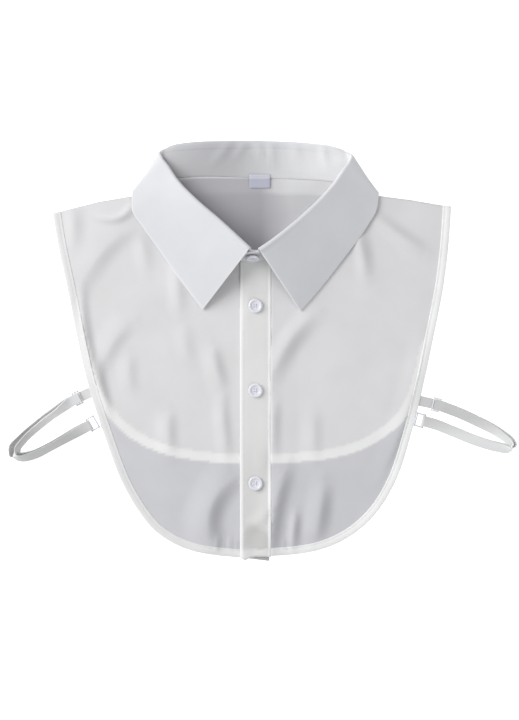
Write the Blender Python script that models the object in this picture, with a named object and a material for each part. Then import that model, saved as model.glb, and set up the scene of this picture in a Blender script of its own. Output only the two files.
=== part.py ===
"""Detachable shirt collar with front and back bibs, laid flat with its front up.

The frame is in metres, +Z up: the origin is under the middle of the laid piece, +Y runs towards the
back of the neck and the surface it lies on is z = 0. Sizes and tables are in millimetres.
"""

import math
from collections import namedtuple

import bmesh
import bpy
import numpy as np
from mathutils.geometry import delaunay_2d_cdt

MM = 0.001
WALL = 1.0
GAP = 0.3
LAYER = WALL + GAP
NECK_GAP = 0.9
LIE_DOWN = 24.0
LATTICE = 14.0

BINDING = 7.5
PLACKET_LEFT, PLACKET_RIGHT = -20.5, 7.5
PLACKET_TOP, PLACKET_FOOT = 80.0, -184.5
BUTTON_STAND_RIGHT, BUTTON_STAND_TOP, BUTTON_STAND_FOOT = 5.5, 81.6, -188.5

BUTTON_RADIUS, BUTTON_RIM, BUTTON_DISH = 6.4, 2.6, 1.5
BUTTON_X = -6.5
BUTTON_ROWS = {"button_1": 41.0, "button_2": -35.0, "button_3": -118.5}
COLLAR_BUTTON_X, COLLAR_BUTTON_HEIGHT = -8.8, 12.0

LABEL_LEFT, LABEL_RIGHT = -12.0, 6.5
LABEL_HIGH, LABEL_SEAM, LABEL_BELOW, LABEL_LOW = 160.5, 156.2, 153.0, 147.0

ELASTIC = 9.2
STRAP_HARDWARE = 12.6
SLIDER_LENGTH, SLIDER_THICK = 7.0, 1.4
RING_LENGTH, RING_THICK = 8.6, 1.6

Place = namedtuple("Place", "x y")
Section = namedtuple("Section", "seam_x seam_y seam_z fold_x fold_y fold_z edge_x edge_y edge_z roll")
Band = namedtuple("Band", "x y tilt apart")
Ridge = namedtuple("Ridge", "x0 y0 x1 y1 width height")

# The bound edges, from each shoulder corner down the side and round to the front opening.
LEFT_EDGE = [
    Place(-189.0, 124.5),
    Place(-185.0, 100.5),
    Place(-175.5, 55.5),
    Place(-166.5, 10.5),
    Place(-157.5, -28.5),
    Place(-143.5, -72.5),
    Place(-124.0, -123.0),
    Place(-112.5, -142.5),
    Place(-98.5, -160.0),
    Place(-82.5, -171.5),
    Place(-63.0, -179.5),
    Place(-41.0, -183.5),
    Place(-20.5, -185.5),
    Place(BUTTON_STAND_RIGHT, BUTTON_STAND_FOOT),
]
RIGHT_EDGE = [
    Place(169.5, 130.5),
    Place(167.5, 100.5),
    Place(162.0, 55.5),
    Place(153.0, 10.5),
    Place(144.5, -30.0),
    Place(135.0, -69.0),
    Place(116.5, -123.0),
    Place(102.5, -145.0),
    Place(85.5, -161.5),
    Place(69.5, -171.5),
    Place(49.5, -179.0),
    Place(30.0, -182.5),
    Place(PLACKET_RIGHT + GAP, -184.0),
]
BACK_EDGE = [
    Place(-188.0, 124.5),
    Place(-184.0, 100.5),
    Place(-174.5, 55.5),
    Place(-165.5, 10.5),
    Place(-159.5, -18.0),
    Place(-154.0, -36.5),
    Place(-137.5, -61.0),
    Place(-123.0, -75.0),
    Place(-102.5, -87.0),
    Place(-80.0, -94.5),
    Place(-51.0, -99.0),
    Place(-7.0, -101.0),
    Place(38.0, -99.0),
    Place(62.5, -96.0),
    Place(85.0, -90.0),
    Place(110.0, -76.5),
    Place(125.5, -63.5),
    Place(137.0, -45.0),
    Place(143.5, -26.0),
    Place(152.0, 10.5),
    Place(161.0, 55.5),
    Place(166.5, 100.5),
    Place(168.5, 130.0),
]
LEFT_SHOULDER = [Place(-181.5, 126.5), Place(-147.5, 134.5), Place(-114.5, 140.0)]
RIGHT_SHOULDER = [Place(102.0, 140.0), Place(131.0, 136.5), Place(161.5, 131.5)]

# The collar, as sections round the neck: where the stand is sewn on, where the collar folds over,
# the fall's outer edge, and the radius of the roll. Each half runs from the centre back, where the
# fall lies under the stand, round a crease at the shoulder to the centre front, where it lies on top.
LEFT_COLLAR = [
    Section(-4.5, 156.0, 1.8, -4.5, 186.0, 11.0, -4.5, 142.5, 0.5, 2.1),
    Section(-47.5, 157.5, 1.8, -47.5, 185.5, 11.0, -52.0, 142.0, 0.5, 2.1),
    Section(-84.5, 155.5, 2.2, -78.0, 183.2, 7.6, -96.0, 140.5, 0.5, 2.1),
    Section(-98.5, 150.8, 2.4, -87.0, 180.5, 5.5, -111.0, 145.0, 0.5, 1.8),
    Section(-102.0, 147.4, 2.9, -92.2, 177.0, 7.8, -115.5, 144.5, 2.4, 1.3),
    Section(-102.5, 144.2, 3.7, -90.5, 171.8, 10.4, -117.0, 142.8, 5.0, 1.4),
    Section(-99.5, 138.5, 3.6, -85.5, 164.5, 12.6, -117.5, 129.5, 4.9, 1.8),
    Section(-90.5, 129.5, 3.2, -76.5, 151.0, 17.0, -108.0, 112.0, 4.2, 1.7),
    Section(-78.0, 119.0, 2.4, -64.0, 137.5, 21.0, -96.5, 96.0, 3.7, 1.7),
    Section(-49.0, 101.5, 2.0, -38.5, 115.0, 25.5, -75.5, 66.0, 3.5, 1.7),
    Section(-12.5, 82.6, 2.2, -12.0, 93.6, 28.5, -54.0, 37.5, 4.0, 1.7),
]
RIGHT_COLLAR = [
    LEFT_COLLAR[0],
    Section(42.5, 154.5, 1.8, 38.0, 184.0, 11.0, 44.5, 141.0, 0.5, 2.1),
    Section(74.0, 151.0, 2.2, 67.0, 180.3, 7.6, 84.0, 138.5, 0.5, 2.1),
    Section(86.0, 147.8, 2.4, 74.5, 177.6, 5.5, 97.5, 142.5, 0.5, 1.8),
    Section(89.2, 144.6, 2.9, 79.8, 174.2, 7.8, 102.5, 143.0, 2.4, 1.3),
    Section(89.6, 141.6, 3.7, 78.0, 169.0, 10.4, 104.0, 141.5, 5.0, 1.4),
    Section(86.8, 136.0, 3.6, 73.2, 161.8, 12.6, 102.5, 129.0, 4.9, 1.8),
    Section(78.0, 128.3, 3.2, 64.5, 149.0, 17.0, 94.0, 113.0, 4.2, 1.7),
    Section(60.5, 112.0, 2.8, 45.0, 128.0, 22.0, 72.0, 83.0, 3.7, 1.7),
    Section(35.0, 97.5, 2.8, 24.0, 110.5, 26.0, 52.5, 58.0, 3.5, 1.7),
    Section(9.5, 83.3, 3.5, 6.5, 98.0, 28.8, 40.0, 43.5, 3.6, 1.7),
    Section(-3.5, 81.0, 3.9, -3.0, 92.3, 29.5, 33.5, 36.5, 4.0, 1.7),
]
STAND_TO_FALL, FALL_START = 4.6, 3.8
TIGHT_ROLL, EASY_ROLL = 1.2, 1.7
UNDER_SAG = 3.0
TAB_LEFT_END, TAB_RIGHT_END = -19.5, 3.0
TAB_END_HEIGHT = 0.55

# Each strap from the back bib to its ring on the front bib: the tilt is 0 or 180 where the elastic
# lies flat and 90 where it stands on its edge, and apart is the distance to the strand beside it.
LEFT_STRAP = [
    Band(-156.8, -37.5, 180, 3.2),
    Band(-161.5, -39.7, 176, 3.2),
    Band(-166.5, -42.0, 176, 3.2),
    Band(-171.5, -44.4, 174, 3.2),
    Band(-179.0, -48.2, 146, 3.3),
    Band(-188.0, -53.5, 122, 3.7),
    Band(-205.5, -66.0, 112, 3.9),
    Band(-218.5, -76.5, 100, 4.6),
    Band(-227.8, -86.5, 90, 6.8),
    Band(-226.8, -93.5, 84, 6.8),
    Band(-219.0, -96.8, 68, 3.8),
    Band(-205.5, -93.5, 50, 1.7),
    Band(-191.5, -86.5, 46, 1.6),
    Band(-178.0, -79.0, 40, 1.7),
    Band(-164.0, -71.0, 20, 2.6),
    Band(-156.0, -66.5, 2, 3.3),
]
RIGHT_STRAP = [
    Band(141.8, -44.6, 180, 3.2),
    Band(151.0, -46.6, 176, 3.2),
    Band(156.0, -47.8, 176, 3.2),
    Band(161.0, -49.2, 175, 3.2),
    Band(168.5, -51.8, 168, 2.2),
    Band(178.0, -55.5, 163, 1.8),
    Band(192.0, -62.0, 158, 1.7),
    Band(205.5, -68.5, 148, 1.8),
    Band(216.0, -74.0, 126, 2.4),
    Band(224.5, -79.5, 105, 3.0),
    Band(227.3, -84.0, 88, 3.2),
    Band(222.0, -88.2, 60, 2.6),
    Band(212.5, -86.5, 30, 1.8),
    Band(192.0, -80.5, 18, 1.6),
    Band(171.0, -72.0, 14, 1.6),
    Band(153.0, -65.0, 8, 2.4),
    Band(144.9, -62.8, 2, 3.3),
]
SLIDER_ROW = 2

# The largest folds of the front bibs below the back bib's hem.
FRONT_FOLDS = [
    Ridge(-33.0, -120.0, -46.0, -172.0, 11.0, 3.0),
    Ridge(-74.0, -110.0, -92.0, -150.0, 13.0, 1.6),
    Ridge(24.0, -112.0, 15.0, -172.0, 8.0, 2.2),
    Ridge(45.0, -108.0, 36.0, -170.0, 10.0, 2.8),
    Ridge(74.0, -120.0, 60.0, -162.0, 10.0, 2.2),
]


def remove_scene_objects():
    for thing in list(bpy.data.objects):
        bpy.data.objects.remove(thing, do_unlink=True)


def material(name, colour, roughness):
    made = bpy.data.materials.new(name)
    made.use_nodes = True
    shader = made.node_tree.nodes["Principled BSDF"]
    shader.inputs["Base Color"].default_value = (*colour, 1.0)
    shader.inputs["Roughness"].default_value = roughness
    shader.inputs["Metallic"].default_value = 0.0
    return made


def add_object(name, body, paint, smooth=True):
    """Turn a bmesh in millimetres into a named object in metres."""
    bmesh.ops.scale(body, vec=(MM, MM, MM), verts=body.verts)
    mesh = bpy.data.meshes.new(name)
    body.to_mesh(mesh)
    body.free()
    mesh.materials.append(paint)
    if smooth:
        mesh.shade_smooth()
        mesh.set_sharp_from_angle(angle=math.radians(40))
    made = bpy.data.objects.new(name, mesh)
    bpy.context.collection.objects.link(made)
    return made


def through_rows(rows, steps, bound=True):
    """Points on a smooth curve through a table's rows, steps to a gap.

    A bound curve never passes its rows' own values, so stacked cloth keeps its clearances.
    """
    rows = np.array(rows, float)
    reach = np.linalg.norm(np.diff(rows[:, :2], axis=0), axis=1)[:, None]
    slope = np.diff(rows, axis=0) / reach
    before, after = reach[:-1], reach[1:]
    tangent = np.zeros_like(rows)
    tangent[0], tangent[-1] = slope[0], slope[-1]
    tangent[1:-1] = (slope[:-1] * after + slope[1:] * before) / (before + after)
    if bound:
        limit = 2 * np.minimum(abs(slope[:-1]), abs(slope[1:]))
        limit[slope[:-1] * slope[1:] <= 0] = 0
        tangent[1:-1] = np.clip(tangent[1:-1], -limit, limit)
    points = []
    for i, long in enumerate(reach[:, 0]):
        for t in np.arange(steps) / steps:
            start, end = rows[i], rows[i + 1]
            points.append(
                (1 + 2 * t) * (1 - t) ** 2 * start
                + t**2 * (3 - 2 * t) * end
                + t * (1 - t) * ((1 - t) * tangent[i] - t * tangent[i + 1]) * long
            )
    return np.array(points + [rows[-1]])


def moved_in(line, distance):
    """A line in plan moved sideways, to the left of its direction."""
    along = np.gradient(line[:, :2], axis=0)
    along /= np.linalg.norm(along, axis=1)[:, None]
    return line[:, :2] + distance * np.stack([-along[:, 1], along[:, 0]], axis=1)


def beyond(outline, x, y):
    """How far a place lies outside a closed outline: negative inside it."""
    start, end = outline, np.roll(outline, -1, axis=0)
    run = end - start
    to = np.array([x, y]) - start
    share = np.clip((to * run).sum(1) / (run * run).sum(1), 0, 1)
    far = np.linalg.norm(to - share[:, None] * run, axis=1).min()
    rises = (start[:, 1] > y) != (end[:, 1] > y)
    crossing = start[:, 0] + (y - start[:, 1]) * run[:, 0] / np.where(rises, run[:, 1], 1)
    return -far if (rises & (x < crossing)).sum() % 2 else far


def rest_height(x, y, layers, folds=()):
    """The height of a cloth's underside over the layers below it and along its own folds."""
    height = 0.0
    for outline in layers:
        share = min(max(1 - (beyond(outline, x, y) - 1.5) / LIE_DOWN, 0), 1)
        height += LAYER * share
    for ridge in folds:
        run = np.array([ridge.x1 - ridge.x0, ridge.y1 - ridge.y0])
        to = np.array([x - ridge.x0, y - ridge.y0])
        share = (to @ run) / (run @ run)
        aside = np.linalg.norm(to - share * run)
        if 0 < share < 1 and aside < ridge.width:
            rise = math.sin(math.pi * share) ** 0.5
            height += ridge.height * rise * math.cos(aside / ridge.width * math.pi / 2) ** 2
    return height


def thicken(body, faces):
    """Give a flat-lying surface its wall, straight up."""
    grown = bmesh.ops.extrude_face_region(body, geom=faces)["geom"]
    raised = [v for v in grown if isinstance(v, bmesh.types.BMVert)]
    bmesh.ops.translate(body, vec=(0, 0, WALL), verts=raised)
    bmesh.ops.recalc_face_normals(body, faces=body.faces)


def with_even_sides(outline):
    """A closed outline with points put in along its long sides."""
    points = []
    for start, end in zip(outline, np.roll(outline, -1, axis=0)):
        parts = max(1, round(np.linalg.norm(end - start) / LATTICE))
        points += [start + (end - start) * t for t in np.arange(parts) / parts]
    return np.array(points)


def laid_panel(name, outline, layers, paint, folds=()):
    """A bib piece: its outline filled with a lattice and laid over what is under it."""
    outline = with_even_sides(outline)
    low, high = outline.min(axis=0), outline.max(axis=0)
    places = [tuple(p) for p in outline]
    for row, y in enumerate(np.arange(low[1], high[1], LATTICE * 0.87)):
        for x in np.arange(low[0] + (row % 2) * LATTICE / 2, high[0], LATTICE):
            if beyond(outline, x, y) < -0.45 * LATTICE:
                places.append((x, y))
    border = list(range(len(outline)))
    ring = list(zip(border, border[1:] + border[:1]))
    filled = delaunay_2d_cdt(places, ring, [border], 1, 1e-5)
    body = bmesh.new()
    verts = [body.verts.new((p[0], p[1], rest_height(p[0], p[1], layers, folds))) for p in filled[0]]
    faces = [body.faces.new([verts[i] for i in corner]) for corner in filled[2]]
    thicken(body, faces)
    return add_object(name, body, paint)


def laid_strip(name, outer, inner, layers, paint, folds=()):
    """A narrow piece between two lines in plan, laid over what is under it."""
    body = bmesh.new()
    pairs = []
    for places in zip(outer, inner):
        pairs.append([body.verts.new((p[0], p[1], rest_height(p[0], p[1], layers, folds))) for p in places])
    faces = [body.faces.new((a[0], b[0], b[1], a[1])) for a, b in zip(pairs, pairs[1:])]
    thicken(body, faces)
    return add_object(name, body, paint)


def shell(name, rows, paint, thick=WALL):
    """A cloth wall half its thickness to either side of a grid of points."""
    across, along = len(rows[0]), len(rows)
    body = bmesh.new()
    bmesh.ops.create_grid(body, x_segments=across - 1, y_segments=along - 1, size=1)
    body.verts.ensure_lookup_table()
    for place, vert in zip((p for row in rows for p in row), body.verts):
        vert.co = place
    made = add_object(name, body, paint)
    wall = made.modifiers.new("wall", "SOLIDIFY")
    wall.thickness = thick * MM
    wall.offset = 0
    return made


def collar_sections(half, steps):
    """The collar's sections round one half, and the way out of the cloth at each fold."""
    rows = through_rows([(s.fold_x, s.fold_y, *s) for s in half], steps)[:, 2:]
    fold = rows[:, 3:6]
    along = np.gradient(fold, axis=0)
    up = fold - rows[:, 0:3]
    up /= np.linalg.norm(up, axis=1)[:, None]
    out = np.cross(along, up)
    out /= np.linalg.norm(out, axis=1)[:, None]
    return [Section(*row) for row in rows], up, out


def whole_collar(steps):
    """Both halves of the collar in one run, from the left front round the back to the right."""
    left, left_up, left_out = collar_sections(LEFT_COLLAR, steps)
    right, right_up, right_out = collar_sections(RIGHT_COLLAR, steps)
    sections = left[::-1] + right[1:]
    up = np.concatenate([left_up[::-1], right_up[1:]])
    out = np.concatenate([left_out[::-1], -right_out[1:]])
    return sections, up, out


def points_of(section):
    seam = np.array([section.seam_x, section.seam_y, section.seam_z])
    fold = np.array([section.fold_x, section.fold_y, section.fold_z])
    edge = np.array([section.edge_x, section.edge_y, section.edge_z])
    return seam, fold, edge


def stand_rows(sections, up, out, columns):
    """The stand from its seam to just below the fold, with a tab past each end of the fall."""
    rows = []
    for section, high, outward in zip(sections, up, out):
        seam, fold, _ = points_of(section)
        top = fold - outward * section.roll - high * STAND_TO_FALL
        foot = seam + high * GAP
        rows.append([foot + (top - foot) * t for t in np.linspace(0, 1, columns)])
    return tab_rows(rows[0], TAB_RIGHT_END)[::-1] + rows + tab_rows(rows[-1], TAB_LEFT_END)


def tab_rows(row, end_x, steps=5):
    """The stand's end past the fall, its top rounded down to the end."""
    made = []
    for t in np.arange(1, steps + 1) / steps:
        height = TAB_END_HEIGHT + (0.9 - TAB_END_HEIGHT) * math.sqrt(1 - t**2)
        shift = np.array([(end_x - row[0][0]) * t, 0, 0])
        made.append([row[0] + (p - row[0]) * height + shift for p in row])
    return made


def fall_rows(sections, up, out, columns, arc=5):
    """The fall: up from the stand, over the roll and down to its outer edge."""
    rows = []
    for section, high, outward in zip(sections, up, out):
        _, fold, edge = points_of(section)
        roll = section.roll
        start = FALL_START * min(1, (roll - TIGHT_ROLL) / (EASY_ROLL - TIGHT_ROLL))
        row = [fold - outward * roll - high * start]
        for angle in np.linspace(0, math.pi, arc):
            row.append(fold - outward * roll * math.cos(angle) + high * roll * math.sin(angle))
        top = row[-1]
        sag = 1 + UNDER_SAG * max(0, -outward[2])
        for t in np.linspace(0, 1, columns)[1:]:
            point = top + (edge - top) * t
            point[2] = edge[2] + (top[2] - edge[2]) * (1 - t) ** sag
            row.append(point)
        rows.append(row)
    return rows


def strap_stations(table, side, steps):
    """Where each strand of a strap's elastic runs, and the direction of its width.

    side is 1 where the loop's inside lies to the left of its run, and -1 where it lies to the right.
    """
    rows = through_rows(table, steps)
    along = np.gradient(rows[:, :2], axis=0)
    along /= np.linalg.norm(along, axis=1)[:, None]
    stations = []
    for (x, y, tilt, apart), (run_x, run_y) in zip(rows, along):
        tilt = math.radians(tilt)
        inside = np.array([-run_y * side, run_x * side, 0])
        width = math.cos(tilt) * inside + math.sin(tilt) * np.array([0, 0, 1])
        aside = math.sin(tilt) * inside - math.cos(tilt) * np.array([0, 0, 1])
        low = (abs(math.cos(tilt)) * WALL + math.sin(tilt) * ELASTIC) / 2
        first = np.array([x, y, low + GAP + max(0, apart * math.cos(tilt))])
        stations.append((first, first + aside * apart, width, np.array([run_x, run_y, 0])))
    return stations


def strap(name, table, side, paint, steps=3):
    """The elastic: from the back bib through the slider, round the ring and back to the slider."""
    stations = strap_stations(table, side, steps)
    line = [(first, width) for first, _, width, _ in stations]
    first, second, width, run = stations[-1]
    middle, reach = (first + second) / 2, np.linalg.norm(second - first) / 2
    for angle in np.linspace(0, math.pi, 7)[1:-1]:
        line.append((middle + (first - middle) * math.cos(angle) + run * reach * math.sin(angle), width))
    line += [(second, width) for _, second, width, _ in stations[SLIDER_ROW * steps :][::-1]]
    return shell(name, [[p - w * ELASTIC / 2, p + w * ELASTIC / 2] for p, w in line], paint)


def barred_plate(name, middle, run, width, length, bars, thick, paint):
    """A flat plastic plate with bars across it and a slot between each two."""
    rail = (STRAP_HARDWARE - ELASTIC) / 2 - 0.4
    half = STRAP_HARDWARE / 2
    bar = rail
    starts = np.linspace(-length / 2, length / 2 - bar, bars)
    marks = sorted([*starts, *(starts + bar)])
    across = [-half, -half + rail, half - rail, half]
    body = bmesh.new()
    grid = [[body.verts.new((u, v, -thick / 2)) for v in across] for u in marks]
    faces = []
    for i in range(len(marks) - 1):
        for j in range(3):
            if i % 2 and j == 1:
                continue
            corner = (grid[i][j], grid[i + 1][j], grid[i + 1][j + 1], grid[i][j + 1])
            faces.append(body.faces.new(corner))
    grown = bmesh.ops.extrude_face_region(body, geom=faces)["geom"]
    bmesh.ops.translate(
        body, vec=(0, 0, thick), verts=[v for v in grown if isinstance(v, bmesh.types.BMVert)]
    )
    bmesh.ops.recalc_face_normals(body, faces=body.faces)
    normal = np.cross(run, width)
    for vert in body.verts:
        u, v, w = vert.co
        vert.co = middle + run * u + width * v + normal * w
    return add_object(name, body, paint, smooth=False)


def button(name, middle, up, paint, sides=20):
    """A turned shirt button: a rounded rim round a sunken middle."""
    across = np.cross(up, (1.0, 0.0, 0.0))
    across /= np.linalg.norm(across)
    right = np.cross(across, up)
    profile = [
        (0, 0),
        (BUTTON_RADIUS - 1.2, 0),
        (BUTTON_RADIUS, 0.9),
        (BUTTON_RADIUS, 1.8),
        (BUTTON_RADIUS - 0.9, BUTTON_RIM),
        (BUTTON_RADIUS - 1.9, BUTTON_RIM - 0.2),
        (BUTTON_RADIUS - 2.6, BUTTON_DISH),
        (0, BUTTON_DISH),
    ]
    body = bmesh.new()
    line = [body.verts.new((r, 0, z)) for r, z in profile]
    edges = [body.edges.new(pair) for pair in zip(line, line[1:])]
    bmesh.ops.spin(
        body,
        geom=line + edges,
        axis=(0, 0, 1),
        angle=math.tau,
        steps=sides,
        use_merge=True,
    )
    bmesh.ops.remove_doubles(body, verts=body.verts, dist=0.001)
    bmesh.ops.recalc_face_normals(body, faces=body.faces)
    for vert in body.verts:
        u, v, w = vert.co
        vert.co = np.array(middle) + right * u + across * v + np.array(up) * w
    return add_object(name, body, paint)


def neck_line(sections, low, high, distance):
    """Part of the stand's seam in plan, moved out of the neck by a distance."""
    seam = np.array([(s.seam_x, s.seam_y) for s in sections])
    return moved_in(seam, distance)[low:high]


def beside_placket(line):
    """A line of the right bib, kept clear of the placket."""
    return np.stack([np.maximum(line[:, 0], PLACKET_RIGHT + GAP), line[:, 1]], axis=1)


def build():
    remove_scene_objects()
    cloth = material("white crepe", (0.78, 0.78, 0.79), 0.85)
    crisp = material("interlined white cloth", (0.84, 0.85, 0.87), 0.8)
    binding_cloth = material("binding", (0.86, 0.86, 0.85), 0.7)
    satin = material("satin label", (0.8, 0.79, 0.86), 0.4)
    clear = material("clear plastic", (0.78, 0.79, 0.9), 0.15)
    elastic = material("elastic", (0.75, 0.75, 0.76), 0.5)

    # The neck seam, and the plan outlines that the layers rest on.
    steps = 3
    sections, up, out = whole_collar(steps)
    centre_back = (len(LEFT_COLLAR) - 1) * steps
    left_corner = centre_back - 4 * steps
    right_corner = centre_back + 4 * steps
    left_edge = through_rows(LEFT_EDGE, 3, bound=False)[:, :2]
    right_edge = through_rows(RIGHT_EDGE, 3, bound=False)[:, :2]
    back_edge = through_rows(BACK_EDGE, 2, bound=False)[:, :2]
    back_neck = neck_line(sections, left_corner, right_corner + 1, -NECK_GAP)
    left_neck = neck_line(sections, 0, left_corner - 1, NECK_GAP)
    right_neck = neck_line(sections, right_corner + 2, None, NECK_GAP)
    right_top = np.interp(PLACKET_RIGHT, right_neck[::-1, 0], right_neck[::-1, 1])
    right_neck = right_neck[right_neck[:, 0] > PLACKET_RIGHT + LATTICE / 3]

    fall_edge = [(s.edge_x, s.edge_y) for s in sections[left_corner : right_corner + 1]]
    fall_fold = [(s.fold_x, s.fold_y) for s in sections[left_corner : right_corner + 1]]
    fall_under = np.array(fall_edge + fall_fold[::-1])
    left_shoulder, right_shoulder = np.array(LEFT_SHOULDER), np.array(RIGHT_SHOULDER)
    back_whole = np.concatenate([back_edge, right_shoulder[::-1], back_neck[::-1], left_shoulder[::-1]])
    placket_box = np.array(
        [
            (PLACKET_LEFT, PLACKET_FOOT),
            (BUTTON_STAND_RIGHT, PLACKET_FOOT),
            (BUTTON_STAND_RIGHT, PLACKET_TOP),
            (PLACKET_LEFT, PLACKET_TOP),
        ]
    )

    # The back bib and its binding.
    in_back = moved_in(back_edge, BINDING)
    panel_back = moved_in(back_edge, BINDING + GAP)
    outline = [panel_back, right_shoulder[1::-1], back_neck[::-1], left_shoulder[1:][::-1]]
    laid_panel("back_bib", np.concatenate(outline), [fall_under], cloth)
    laid_strip("back_binding", back_edge, in_back, [fall_under], binding_cloth)

    # The front bibs over it: the left one carries the button stand, the right one the placket.
    under_front = [fall_under, back_whole]
    outline = [
        moved_in(left_edge, BINDING + GAP),
        [(BUTTON_STAND_RIGHT, BUTTON_STAND_TOP)],
        left_neck,
        left_shoulder[1:][::-1],
    ]
    laid_panel("front_bib_left", np.concatenate(outline), under_front, cloth, FRONT_FOLDS)
    inner = moved_in(left_edge, BINDING)
    laid_strip("front_binding_left", left_edge, inner, under_front, binding_cloth, FRONT_FOLDS)

    under_right = [*under_front, placket_box]
    outline = [
        beside_placket(moved_in(right_edge, -BINDING - GAP)),
        [(PLACKET_RIGHT + GAP, right_top)],
        right_neck[::-1],
        right_shoulder[:-1],
    ]
    laid_panel("front_bib_right", np.concatenate(outline), under_right, cloth, FRONT_FOLDS)
    inner = beside_placket(moved_in(right_edge, -BINDING))
    laid_strip("front_binding_right", right_edge, inner, under_right, binding_cloth, FRONT_FOLDS)

    left_side = [(PLACKET_LEFT, y) for y in np.linspace(PLACKET_TOP, PLACKET_FOOT, 24)]
    right_side = [(PLACKET_RIGHT, y) for y in np.linspace(right_top, PLACKET_FOOT, 24)]
    laid_strip("placket", left_side, right_side, under_right, binding_cloth)

    # The collar.
    shell("collar_stand", stand_rows(sections, up, out, 5), crisp)
    shell("collar_fall", fall_rows(sections, up, out, 6), crisp)

    # The fastened buttons, and the one on the stand's tab.
    for name, y in BUTTON_ROWS.items():
        rest = rest_height(BUTTON_X, y, under_right)
        button(name, (BUTTON_X, y, rest + LAYER), (0, 0, 1), clear)

    seam, _, _ = points_of(sections[-1])
    facing = np.cross((1.0, 0.0, 0.0), up[-1])
    facing /= np.linalg.norm(facing)
    place = seam + up[-1] * COLLAR_BUTTON_HEIGHT + facing * (WALL / 2 + GAP)
    button("collar_button", (COLLAR_BUTTON_X, place[1], place[2]), facing, clear)

    # The label, sewn over the back seam.
    rows = []
    for y, z in ((LABEL_HIGH, 5.2), (LABEL_SEAM, 3.7), (LABEL_BELOW, 3.2), (LABEL_LOW, 3.2)):
        rows.append([(LABEL_LEFT, y, z), (LABEL_RIGHT, y, z)])
    shell("label", rows, satin)

    # The straps with their sliders and rings.
    for name, table, side in (("left", LEFT_STRAP, 1), ("right", RIGHT_STRAP, -1)):
        strap(f"strap_{name}", table, side, elastic)
        stations = strap_stations(table, side, 3)
        first, second, width, run = stations[SLIDER_ROW * 3]
        middle = (first + second) / 2
        barred_plate(
            f"strap_slider_{name}", middle, run, width, SLIDER_LENGTH, 3, SLIDER_THICK, clear
        )
        first, second, width, run = stations[-1]
        middle = (first + second) / 2 + run * (RING_LENGTH / 2 - 0.65)
        barred_plate(f"strap_ring_{name}", middle, run, width, RING_LENGTH, 2, RING_THICK, clear)


build()
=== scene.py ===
import math
from collections import namedtuple

import bmesh
import bpy
import numpy as np
from mathutils import Matrix, Vector


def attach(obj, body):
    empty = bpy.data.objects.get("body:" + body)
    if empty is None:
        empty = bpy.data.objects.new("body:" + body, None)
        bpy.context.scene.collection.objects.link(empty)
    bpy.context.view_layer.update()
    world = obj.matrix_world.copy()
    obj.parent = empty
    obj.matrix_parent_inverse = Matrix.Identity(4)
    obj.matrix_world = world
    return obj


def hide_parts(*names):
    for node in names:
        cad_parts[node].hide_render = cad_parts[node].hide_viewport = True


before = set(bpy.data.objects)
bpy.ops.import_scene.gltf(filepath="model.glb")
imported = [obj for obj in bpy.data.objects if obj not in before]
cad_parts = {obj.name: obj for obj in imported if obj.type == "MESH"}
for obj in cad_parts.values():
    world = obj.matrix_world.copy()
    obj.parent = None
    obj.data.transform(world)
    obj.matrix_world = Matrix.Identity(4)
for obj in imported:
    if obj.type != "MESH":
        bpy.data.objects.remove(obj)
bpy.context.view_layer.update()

# The collar lies on its back, so every piece is drawn where it rests. Sizes are in millimetres and
# x runs to the right, y towards the back of the neck and z up; a mesh is scaled to metres at its end.
MM = 0.001

# The back bib
# One layer of thin white crepe with a rounded hem. It is sewn to the collar's stand at the neck and
# to the front bibs along the shoulders. Laid down, it rests on the floor and on the fall's back.
# Painted shade for the cloth in the neck, the cloth's own colour, and the lighter colour where it lies
# doubled over the fall.
BACK_PAINTED_SHADE_COLOUR = (0.425, 0.415, 0.44)
BACK_COLOUR = (0.67, 0.67, 0.685)
BACK_OVER_FALL_COLOUR = (0.78, 0.78, 0.78)
CLOTH_THICK = 0.4
MID_OF_WALL = 0.5
BINDING = 7.5
UNDER_BINDING = 2.0
CLOTH_CELL = 2.2
LAYER = 1.3
LIE_DOWN = 24.0
NECK_SEAM = 0.15
EDGE_BLUR = 2.5

Place = namedtuple("Place", "x y")
Section = namedtuple("Section", "seam_x seam_y seam_z fold_x fold_y fold_z edge_x edge_y edge_z roll")
Crease = namedtuple("Crease", "start_x start_y bend_x bend_y end_x end_y width lean rise")

BACK_EDGE = [
    Place(-188.0, 124.5),
    Place(-184.0, 100.5),
    Place(-174.5, 55.5),
    Place(-165.5, 10.5),
    Place(-159.5, -18.0),
    Place(-154.0, -36.5),
    Place(-137.5, -61.0),
    Place(-123.0, -75.0),
    Place(-102.5, -87.0),
    Place(-80.0, -94.5),
    Place(-51.0, -99.0),
    Place(-7.0, -101.0),
    Place(38.0, -99.0),
    Place(62.5, -96.0),
    Place(85.0, -90.0),
    Place(110.0, -76.5),
    Place(125.5, -63.5),
    Place(137.0, -45.0),
    Place(143.5, -26.0),
    Place(152.0, 10.5),
    Place(161.0, 55.5),
    Place(166.5, 100.5),
    Place(168.5, 130.0),
]
LEFT_SHOULDER = np.array([Place(-181.5, 126.5), Place(-147.5, 134.5), Place(-114.5, 140.0)])
RIGHT_SHOULDER = np.array([Place(102.0, 140.0), Place(131.0, 136.5), Place(161.5, 131.5)])

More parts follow.
